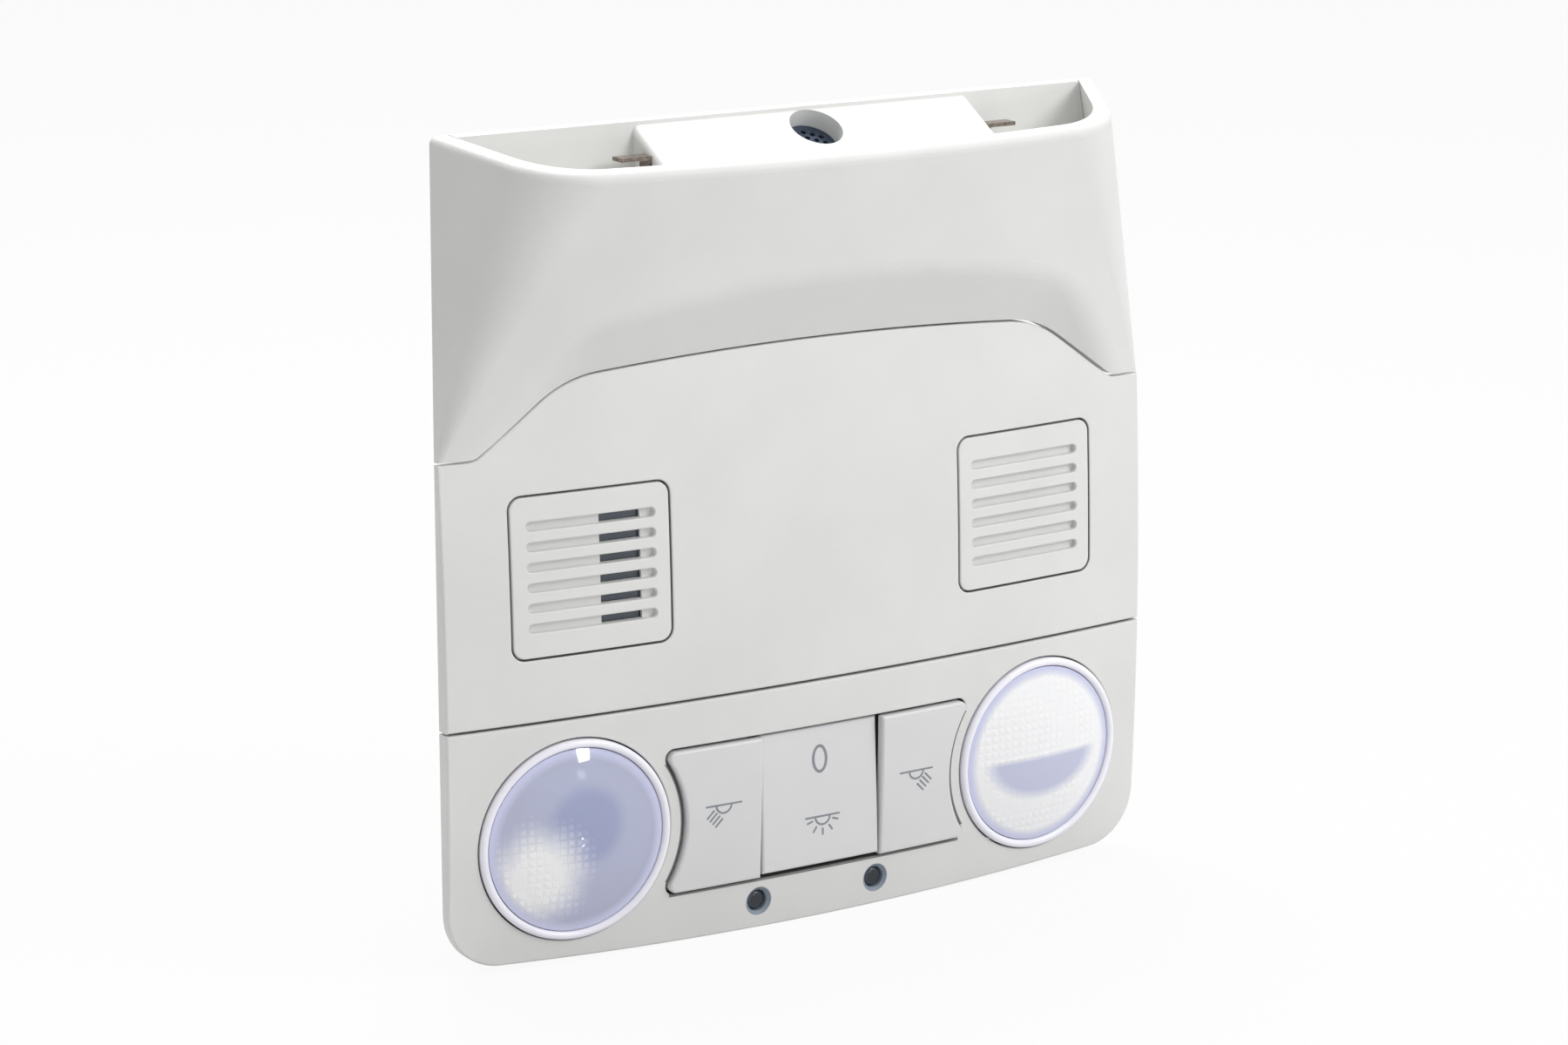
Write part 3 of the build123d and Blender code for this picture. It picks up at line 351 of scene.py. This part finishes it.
def painted_key_lines(tree, folded):
    """Share of painted shade in a fine dark line at the sides of the key opening and along its lower edge."""
    across = add_node(tree, "ShaderNodeSeparateXYZ", inputs={"Vector": folded})
    beside = add_node(
        tree, "ShaderNodeMath", {"operation": "COMPARE"},
        {0: reach_from(tree, folded, LENS_FOLDED), 1: KEYS_SIDE_RADIUS, 2: LINE_HALF_WIDTH},
    )
    between = add_node(
        tree, "ShaderNodeMath", {"operation": "COMPARE"},
        {0: across.outputs["Z"], 1: KEYS_MID_DROP, 2: KEYS_HALF_HEIGHT},
    )
    sides = add_node(
        tree, "ShaderNodeMath", {"operation": "MULTIPLY"},
        {0: beside.outputs["Value"], 1: between.outputs["Value"]},
    )
    below = add_node(
        tree, "ShaderNodeMath", {"operation": "COMPARE"},
        {0: across.outputs["Z"], 1: KEYS_LOW_DROP, 2: LINE_HALF_WIDTH},
    )
    inside = add_node(
        tree, "ShaderNodeMath", {"operation": "LESS_THAN"}, {0: across.outputs["X"], 1: KEYS_HALF_WIDTH}
    )
    low = add_node(
        tree, "ShaderNodeMath", {"operation": "MULTIPLY"},
        {0: below.outputs["Value"], 1: inside.outputs["Value"]},
    )
    lines = add_node(
        tree, "ShaderNodeMath", {"operation": "MAXIMUM"}, {0: sides.outputs["Value"], 1: low.outputs["Value"]}
    )
    inner = add_node(
        tree, "ShaderNodeMath", {"operation": "LESS_THAN"}, {0: across.outputs["X"], 1: SWITCH_REACH}
    )
    return add_node(
        tree, "ShaderNodeMath", {"operation": "MULTIPLY"},
        {0: lines.outputs["Value"], 1: inner.outputs["Value"]},
    ).outputs["Value"]


def lamp_panel_abs():
    """Moulded ABS of the lamp panel, with painted shade in its openings, a painted dark line beside the keys,
    and painted grey shade on the mouths of its small holes.
    """
    material = fascia_abs("lamp_panel_abs")
    tree = material.node_tree
    base, plain = colour_sockets(material)
    folded = folded_place(tree)
    # Painted shade: the colour darkens below the face in the key and lamp openings, and in a fine line beside
    # the keys
    openings = painted_gap_shade(tree, near_openings(tree, folded))
    # Painted shade: the flared mouth round each small hole is coloured grey-blue
    holes = add_node(
        tree, "ShaderNodeMath", {"operation": "LESS_THAN"},
        {0: reach_from(tree, folded, LED_FOLDED), 1: LED_MOUTH_RADIUS},
    )
    layers = (
        (openings, OPENING_PAINTED_SHADE),
        (painted_key_lines(tree, folded), KEY_LINE_PAINTED_SHADE),
        (holes.outputs["Value"], LED_MOUTH_PAINTED_SHADE),
    )
    colour = plain
    for share, shade in layers:
        mix = add_node(
            tree, "ShaderNodeMix", {"data_type": "RGBA"},
            {MIX_SHARE: share, MIX_START: colour, MIX_END: linear(shade)},
        )
        colour = mix.outputs[MIX_RESULT]
    tree.links.new(colour, base)
    return material


def sensor_panel_abs():
    """Moulded ABS of the sensor panel, with painted shade in its lower seam and round the two inserts."""
    material = fascia_abs("sensor_panel_abs")
    tree = material.node_tree
    base, plain = colour_sockets(material)
    across = add_node(tree, "ShaderNodeSeparateXYZ", inputs={"Vector": folded_place(tree)})
    width = add_node(
        tree, "ShaderNodeMath", {"operation": "LESS_THAN"}, {0: across.outputs["X"], 1: SEAM_HALF_WIDTH}
    )
    height = add_node(
        tree, "ShaderNodeMath", {"operation": "LESS_THAN"}, {0: across.outputs["Z"], 1: INSERTS_TOP_Z}
    )
    mask = add_node(
        tree, "ShaderNodeMath", {"operation": "MULTIPLY"},
        {0: width.outputs["Value"], 1: height.outputs["Value"]},
    )
    # Painted shade: the colour darkens below the face in the lower seam and round the inserts
    painted_shade_mix = add_node(
        tree, "ShaderNodeMix", {"data_type": "RGBA"},
        {MIX_SHARE: painted_gap_shade(tree, mask.outputs["Value"]), MIX_START: plain, MIX_END: linear(SEAM_PAINTED_SHADE)},
    )
    tree.links.new(painted_shade_mix.outputs[MIX_RESULT], base)
    return material


def lens_place(tree, side):
    """Place on a lens, counted in its radii from its middle."""
    place = add_node(tree, "ShaderNodeTexCoord").outputs["Object"]
    middle = Vector((side * LENS_X, 0, LENS_Z)) / LENS_RADIUS
    scale = [1 / LENS_RADIUS] * 3
    moved = add_node(tree, "ShaderNodeMapping", inputs={"Vector": place, "Location": -middle, "Scale": scale})
    return moved.outputs["Vector"]


def pillows(tree):
    """Rows of small moulded pillows, as the distance from the middle of each one."""
    place = add_node(tree, "ShaderNodeTexCoord").outputs["Object"]
    cells = add_node(
        tree, "ShaderNodeTexVoronoi", {"distance": "CHEBYCHEV"},
        {"Vector": place, "Scale": 1 / PILLOW_SIZE, "Randomness": PILLOW_UNEVENNESS},
    )
    return cells.outputs["Distance"]


def left_optics(tree, place, cells):
    """Share of the left lens that spreads the light: a patch of pillows at the lower left."""
    ragged = add_node(
        tree, "ShaderNodeMath", {"operation": "MULTIPLY_ADD"},
        {0: cells, 1: MILKY_RAGGEDNESS, 2: reach_from(tree, place, MILKY_MIDDLE)},
    )
    share = add_node(
        tree, "ShaderNodeMapRange", {"interpolation_type": "SMOOTHSTEP"},
        {
            "Value": ragged.outputs["Value"],
            "From Min": MILKY_START,
            "From Max": MILKY_END,
            "To Min": 1.0,
            "To Max": 0.0,
        },
    )
    return share.outputs["Result"]


def right_optics(tree, place, cells):
    """Share of the right lens that spreads the light: all but a clear half disc across the middle."""
    stretched = add_node(
        tree, "ShaderNodeVectorMath", {"operation": "MULTIPLY"}, {0: place, 1: WINDOW_STRETCH}
    )
    reach = add_node(tree, "ShaderNodeVectorMath", {"operation": "LENGTH"}, {0: stretched.outputs["Vector"]})
    disc = add_node(
        tree, "ShaderNodeMapRange",
        inputs={
            "Value": reach.outputs["Value"],
            "From Min": WINDOW_START,
            "From Max": WINDOW_END,
            "To Min": 1.0,
            "To Max": 0.0,
        },
    )
    height = add_node(tree, "ShaderNodeSeparateXYZ", inputs={"Vector": place})
    below = add_node(
        tree, "ShaderNodeMapRange",
        inputs={
            "Value": height.outputs["Z"],
            "From Min": WINDOW_TOP_START,
            "From Max": WINDOW_TOP_END,
            "To Min": 1.0,
            "To Max": 0.0,
        },
    )
    window = add_node(
        tree, "ShaderNodeMath", {"operation": "MULTIPLY"},
        {0: disc.outputs["Result"], 1: below.outputs["Result"]},
    )
    ragged = add_node(
        tree, "ShaderNodeMath", {"operation": "MULTIPLY_ADD", "use_clamp": True},
        {0: cells, 1: WINDOW_RAGGEDNESS, 2: window.outputs["Value"]},
    )
    share = add_node(tree, "ShaderNodeMath", {"operation": "SUBTRACT"}, {0: 1.0, 1: ragged.outputs["Value"]})
    return share.outputs["Value"]


def lens_colour(tree, place, rim, share, clear, painted_middle_tint):
    """Colour of a lens: clear, then the painted shade in its middle, its lilac rim and its white pillows."""
    # Painted shade: a darker patch in the middle of the lens
    painted_middle = add_node(
        tree, "ShaderNodeMapRange", {"interpolation_type": "SMOOTHSTEP"},
        {
            "Value": reach_from(tree, place, LENS_PAINTED_SHADE_MIDDLE),
            "From Min": LENS_PAINTED_SHADE_START,
            "From Max": LENS_PAINTED_SHADE_END,
            "To Min": 1.0,
            "To Max": 0.0,
        },
    )
    colour = linear(clear)
    for part, tint in ((painted_middle.outputs["Result"], painted_middle_tint), (rim, LENS_RIM_TINT), (share, MILKY_TINT)):
        mix = add_node(
            tree, "ShaderNodeMix", {"data_type": "RGBA"},
            {MIX_SHARE: part, MIX_START: colour, MIX_END: linear(tint)},
        )
        colour = mix.outputs[MIX_RESULT]
    return colour


def moulded_polycarbonate(name, side, optics, veil, clear, painted_middle_tint):
    """Clear moulded polycarbonate of a lens: lilac at its rim, milky on its pillows, with painted shade in
    its middle.
    """
    material, tree, shader = start_material(name, {"IOR": LENS_IOR})
    cells = pillows(tree)
    place = lens_place(tree, side)
    rim = add_node(
        tree, "ShaderNodeMapRange",
        inputs={
            "Value": reach_from(tree, place, LENS_MIDDLE),
            "From Min": LENS_RIM_START,
            "From Max": LENS_RIM_END,
        },
    ).outputs["Result"]
    inside_rim = add_node(tree, "ShaderNodeMath", {"operation": "SUBTRACT"}, {0: 1.0, 1: rim})
    share = add_node(
        tree, "ShaderNodeMath", {"operation": "MULTIPLY"},
        {0: optics(tree, place, cells), 1: inside_rim.outputs["Value"]},
    ).outputs["Value"]
    see_through = add_node(
        tree, "ShaderNodeMapRange", inputs={"Value": rim, "To Min": 1 - veil, "To Max": LENS_RIM_CLEARNESS}
    )
    clearness = add_node(
        tree, "ShaderNodeMapRange",
        inputs={"Value": share, "To Min": see_through.outputs["Result"], "To Max": MILKY_CLEARNESS},
    )
    roughness = add_node(
        tree, "ShaderNodeMapRange", inputs={"Value": share, "To Min": LENS_POLISH, "To Max": MILKY_ROUGHNESS}
    )
    bump = add_node(
        tree, "ShaderNodeBump", {"invert": True},
        {"Height": cells, "Strength": share, "Distance": PILLOW_DEPTH},
    )
    tree.links.new(lens_colour(tree, place, rim, share, clear, painted_middle_tint), shader.inputs["Base Color"])
    tree.links.new(clearness.outputs["Result"], shader.inputs["Transmission Weight"])
    tree.links.new(roughness.outputs["Result"], shader.inputs["Roughness"])
    tree.links.new(bump.outputs["Normal"], shader.inputs["Normal"])
    return material


def left_polycarbonate():
    """Left lens, with painted shade in its middle that stands in for the dark reflector and bulb seen through
    it.
    """
    return moulded_polycarbonate(
        "left_polycarbonate", side=-1, optics=left_optics, veil=0.52, clear="#E2E6FF", painted_middle_tint="#C8D0F4"
    )


def right_polycarbonate():
    """Right lens, whose middle has the same tint as the rest."""
    return moulded_polycarbonate(
        "right_polycarbonate", side=1, optics=right_optics, veil=0.7, clear="#DFE3FC", painted_middle_tint="#DFE3FC"
    )


def vacuum_metal():
    """Metallised reflector under lacquer: bright and satin, a little uneven and cool in tone."""
    material, tree, shader = start_material("vacuum_metal", {"Metallic": 0.3, "Roughness": 0.25})
    mottled(tree, shader, "#FAFBFF", "#F2F4FF", patch_mm=9.0)
    grained(tree, shader, grain_mm=1.6, depth_mm=0.05, strength=0.2)
    return material


def rolled_steel(name, light, dark, roughness):
    """Rolled and plated sheet metal: satin, with a fine uneven surface."""
    material, tree, shader = start_material(name, {"Metallic": 1.0, "Roughness": roughness})
    mottled(tree, shader, light, dark, patch_mm=0.8)
    grained(tree, shader, grain_mm=0.12, depth_mm=0.01, strength=0.2)
    return material


def bulb_glass():
    """Frosted glass of a bulb: milky and a little cool in tone."""
    material, tree, shader = start_material(
        "bulb_glass", {"Transmission Weight": 0.1, "Roughness": 0.35, "IOR": GLASS_IOR}
    )
    mottled(tree, shader, "#F7F9FF", "#EDF1FC", patch_mm=4.0)
    return material


def smoked_resin():
    """Smoked resin of an ambient light: glossy, with a dark middle and a paler rim."""
    material, tree, shader = start_material("smoked_resin", {"Roughness": 0.15, "IOR": RESIN_IOR})
    reach = add_node(
        tree, "ShaderNodeMath", {"operation": "DIVIDE"},
        {0: reach_from(tree, folded_place(tree), LED_FOLDED), 1: LED_RADIUS},
    )
    ramp = add_node(tree, "ShaderNodeValToRGB", inputs={"Fac": reach.outputs["Value"]})
    ramp.color_ramp.elements[0].position = LED_DARK_END
    ramp.color_ramp.elements[0].color = linear("#1A2127")
    ramp.color_ramp.elements[1].position = LED_RIM_START
    ramp.color_ramp.elements[1].color = linear("#5A6570")
    tree.links.new(ramp.outputs["Color"], shader.inputs["Base Color"])
    return material


def pad_print():
    """Grey pad-printed ink: matt and a little uneven."""
    material, tree, shader = start_material("pad_print_ink", {"Roughness": 0.55})
    mottled(tree, shader, "#8F9197", "#84868C", patch_mm=1.5)
    return material


def finish_solid(name, material):
    """Gives a finish to one solid."""
    mesh = nodes[name].data
    mesh.materials.clear()
    mesh.materials.append(material)


def dress(slot, material):
    """Gives a finish to every solid that carries one of the record's material slots."""
    for entry in frame["record"]["subparts"]:
        if entry["material_slot"] == slot:
            finish_solid(entry["node"], material)


def dress_solids():
    """Finishes of the solids, by the record's material slots."""
    dress("fascia_plastic", fascia_abs("fascia_abs"))
    finish_solid("lamp_panel", lamp_panel_abs())
    finish_solid("sensor_panel", sensor_panel_abs())
    for slot, *finish in MOULDED_FINISHES:
        dress(slot, moulded_abs(*finish))
    finish_solid("left_lens", left_polycarbonate())
    finish_solid("right_lens", right_polycarbonate())
    dress("mirror_coat", vacuum_metal())
    dress("bulb_glass", bulb_glass())
    dress("led_resin", smoked_resin())
    for slot, *finish in METAL_FINISHES:
        dress(slot, rolled_steel(*finish))


def add_disc(centre, radius, points):
    """Flat disc of ink that faces into the car, with its place in its mesh."""
    bpy.ops.object.select_all(action="DESELECT")
    bpy.ops.mesh.primitive_circle_add(
        vertices=points, radius=radius, fill_type="NGON", location=centre, rotation=(math.pi / 2, 0, 0)
    )
    bpy.ops.object.transform_apply(location=True, rotation=True, scale=True)
    return bpy.context.object


def add_stroke(start, end):
    """Round-ended stroke: half of a disc is drawn out to the other end."""
    stroke = add_disc(start, INK_WIDTH / 2, INK_POINTS)
    run = end - start
    bpy.ops.object.mode_set(mode="EDIT")
    bpy.ops.mesh.select_all(action="DESELECT")
    bpy.ops.object.mode_set(mode="OBJECT")
    for vertex in stroke.data.vertices:
        vertex.select = (vertex.co - start).dot(run) > 0
    bpy.ops.object.mode_set(mode="EDIT")
    bpy.ops.transform.translate(value=run)
    bpy.ops.object.mode_set(mode="OBJECT")
    return stroke


def add_ring(centre, half_width, half_height, stroke):
    """Oval ring: a disc drawn narrow, then inset and opened."""
    ring = add_disc(centre, half_height, RING_POINTS)
    bpy.ops.object.mode_set(mode="EDIT")
    bpy.ops.mesh.select_all(action="SELECT")
    bpy.ops.transform.resize(value=(half_width / half_height, 1, 1), center_override=centre)
    bpy.ops.mesh.inset(thickness=stroke)
    bpy.ops.mesh.delete(type="FACE")
    bpy.ops.object.mode_set(mode="OBJECT")
    return ring


def add_half_ring(centre, radius):
    """Lower half of a round ring."""
    ring = add_ring(centre, radius, radius, INK_WIDTH)
    bpy.ops.object.mode_set(mode="EDIT")
    bpy.ops.mesh.select_all(action="SELECT")
    bpy.ops.mesh.bisect(plane_co=centre, plane_no=(0, 0, 1), clear_outer=True)
    bpy.ops.object.mode_set(mode="OBJECT")
    return ring


def add_lamp(centre):
    """Bar and half dome of a lamp sign."""
    reach = Vector((SIGN_HALF_BAR, 0, 0))
    return [add_stroke(centre - reach, centre + reach), add_half_ring(centre, SIGN_DOME)]


def print_on(strokes, name, node, body, ink):
    """Joins strokes into one sign, lays it on a key and gives the ink its thickness."""
    bpy.ops.object.select_all(action="DESELECT")
    for stroke in strokes:
        stroke.select_set(True)
    bpy.context.view_layer.objects.active = strokes[0]
    if len(strokes) > 1:
        bpy.ops.object.join()
    sign = bpy.context.object
    sign.name = name
    wrap = sign.modifiers.new("lay", "SHRINKWRAP")
    wrap.target = nodes[node]
    wrap.wrap_method = "PROJECT"
    wrap.use_project_y = True
    wrap.use_positive_direction = True
    wrap.offset = INK_DEPTH / 2
    bpy.ops.object.modifier_apply(modifier=wrap.name)
    film = sign.modifiers.new("film", "SOLIDIFY")
    film.thickness = INK_DEPTH
    film.offset = 1.0
    bpy.ops.object.modifier_apply(modifier=film.name)
    sign.data.materials.append(ink)
    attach(sign, body)


def add_zero_sign(ink):
    """Figure nought near the upper end of the rocker."""
    ring = add_ring(ZERO_CENTRE, ZERO_HALF_WIDTH, ZERO_HALF_HEIGHT, ZERO_INK_WIDTH)
    print_on([ring], "zero_sign", "rocker", "rocker", ink)


def add_roof_sign(ink):
    """Lamp with a fan of rays near the lower end of the rocker."""
    strokes = add_lamp(ROOF_SIGN_CENTRE)
    for angle in ROOF_RAY_ANGLES:
        turn = math.radians(angle)
        ray = Vector((math.sin(turn), 0, -math.cos(turn)))
        start = ROOF_SIGN_CENTRE + ray * ROOF_RAY_START
        strokes.append(add_stroke(start, ROOF_SIGN_CENTRE + ray * ROOF_RAY_END))
    print_on(strokes, "roof_lamp_sign", "rocker", "rocker", ink)


def add_reading_sign(word, side, ink):
    """Lamp with slanting rays on one push key."""
    centre = READING_SIGN_CENTRES[word]
    strokes = add_lamp(centre)
    ray = Vector((side, 0, -1)).normalized()
    across = Vector((side, 0, 1)).normalized()
    for offset in READING_RAY_OFFSETS:
        start = centre + across * offset * MM
        strokes.append(add_stroke(start + ray * READING_RAY_START, start + ray * READING_RAY_END))
    print_on(strokes, word + "_reading_sign", word + "_key", word + "_key", ink)


def add_signs():
    """The four printed signs, in one ink."""
    ink = pad_print()
    add_zero_sign(ink)
    add_roof_sign(ink)
    add_reading_sign("left", -1, ink)
    add_reading_sign("right", 1, ink)


def add_camera():
    """Camera at the picture's place, looking at the middle of its frame."""
    data = bpy.data.cameras.new("camera")
    data.lens = CAMERA_LENS_MM
    data.sensor_width = CAMERA_SENSOR_MM
    camera = bpy.data.objects.new("camera", data)
    camera.location = CAMERA_PLACE
    camera.rotation_euler = (CAMERA_TARGET - CAMERA_PLACE).to_track_quat("-Z", "Y").to_euler()
    bpy.context.scene.collection.objects.link(camera)
    bpy.context.scene.camera = camera


def add_softbox(name, place, size, watts):
    """Square studio light that faces the middle of the light unit."""
    data = bpy.data.lights.new(name, "AREA")
    data.size = size
    data.energy = watts
    lamp = bpy.data.objects.new(name, data)
    lamp.location = place
    lamp.rotation_euler = (CAMERA_TARGET - place).to_track_quat("-Z", "Y").to_euler()
    bpy.context.scene.collection.objects.link(lamp)


def seen_directly(tree):
    """One for rays from the camera, a mirror or clear plastic, and zero for light that is spread."""
    path = add_node(tree, "ShaderNodeLightPath")
    total = add_node(
        tree, "ShaderNodeMath", {"operation": "ADD"},
        {0: path.outputs["Is Camera Ray"], 1: path.outputs["Is Glossy Ray"]},
    )
    total = add_node(
        tree, "ShaderNodeMath", {"operation": "ADD", "use_clamp": True},
        {0: total.outputs["Value"], 1: path.outputs["Is Transmission Ray"]},
    )
    return total.outputs["Value"]


def add_world():
    """White surroundings, which light the object at a plain level."""
    world = bpy.data.worlds.new("studio")
    bpy.context.scene.world = world
    world.use_nodes = True
    tree = world.node_tree
    strength = add_node(
        tree, "ShaderNodeMapRange",
        inputs={"Value": seen_directly(tree), "To Min": WORLD_STRENGTH, "To Max": WORLD_SEEN_STRENGTH},
    )
    background = tree.nodes["Background"]
    background.inputs["Color"].default_value = linear(WORLD_SHADE)
    tree.links.new(strength.outputs["Result"], background.inputs["Strength"])


def add_floor():
    """White floor under the lower edge, bright to the eye, which keeps a soft shadow."""
    bpy.ops.mesh.primitive_plane_add(size=2 * FLOOR_HALF, location=(0, 0, cad_box[0][2]))
    floor = bpy.context.object
    floor.name = "floor"
    material = bpy.data.materials.new("white_paper")
    material.use_nodes = True
    tree = material.node_tree
    tree.nodes.remove(tree.nodes["Principled BSDF"])
    paper = add_node(tree, "ShaderNodeBsdfDiffuse", inputs={"Color": linear(PAPER_SHADE)})
    glow = add_node(tree, "ShaderNodeEmission", inputs={"Strength": FLOOR_GLOW})
    share = add_node(
        tree, "ShaderNodeMath", {"operation": "MULTIPLY"}, {0: seen_directly(tree), 1: FLOOR_WHITE}
    )
    mix = add_node(
        tree, "ShaderNodeMixShader",
        inputs={0: share.outputs["Value"], 1: paper.outputs["BSDF"], 2: glow.outputs["Emission"]},
    )
    tree.links.new(mix.outputs["Shader"], tree.nodes["Material Output"].inputs["Surface"])
    floor.data.materials.append(material)


bpy.ops.object.select_all(action="DESELECT")
bpy.context.scene.view_settings.view_transform = "Standard"
dress_solids()
add_signs()
add_camera()
add_world()
add_floor()
add_softbox("key_light", KEY_PLACE, KEY_SIZE, KEY_WATTS)
add_softbox("catch_light", CATCH_PLACE, CATCH_SIZE, CATCH_WATTS)
add_softbox("top_light", TOP_PLACE, TOP_SIZE, TOP_WATTS)
